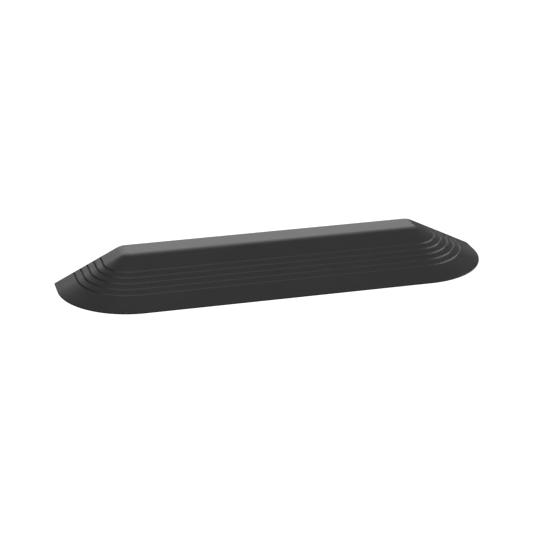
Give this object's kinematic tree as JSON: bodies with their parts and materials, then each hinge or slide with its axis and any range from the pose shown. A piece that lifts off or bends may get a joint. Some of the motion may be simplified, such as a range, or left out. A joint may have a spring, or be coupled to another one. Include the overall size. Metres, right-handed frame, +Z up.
{
  "type": "portable wheelchair ramp",
  "caption": "Low three-sided threshold ramp: a grooved, hollow ribbed moulding with a narrow flat landing at the back, standing on push-in rubber feet.",
  "frame": {"origin": "on the floor under the feet, in the middle of the ramp's width and depth", "axes": "+X along the width, +Y towards the vertical back face that meets the door step, +Z up"},
  "size_m": [1.1, 0.237, 0.088],
  "materials": {
    "shell_plastic": "moulded satin charcoal grey, fine grain",
    "foot_rubber": "matt black"
  },
  "bodies": {
    "root": {"ramp_shell": "shell_plastic", "foot_back_1": "foot_rubber", "foot_back_2": "foot_rubber", "foot_back_3": "foot_rubber", "foot_back_4": "foot_rubber", "foot_back_5": "foot_rubber", "foot_back_6": "foot_rubber", "foot_back_7": "foot_rubber", "foot_middle_1": "foot_rubber", "foot_middle_2": "foot_rubber", "foot_middle_3": "foot_rubber", "foot_middle_4": "foot_rubber", "foot_middle_5": "foot_rubber", "foot_middle_6": "foot_rubber", "foot_middle_7": "foot_rubber", "foot_front_1": "foot_rubber", "foot_front_2": "foot_rubber", "foot_front_3": "foot_rubber", "foot_front_4": "foot_rubber", "foot_front_5": "foot_rubber"}
  },
  "joints": []
}
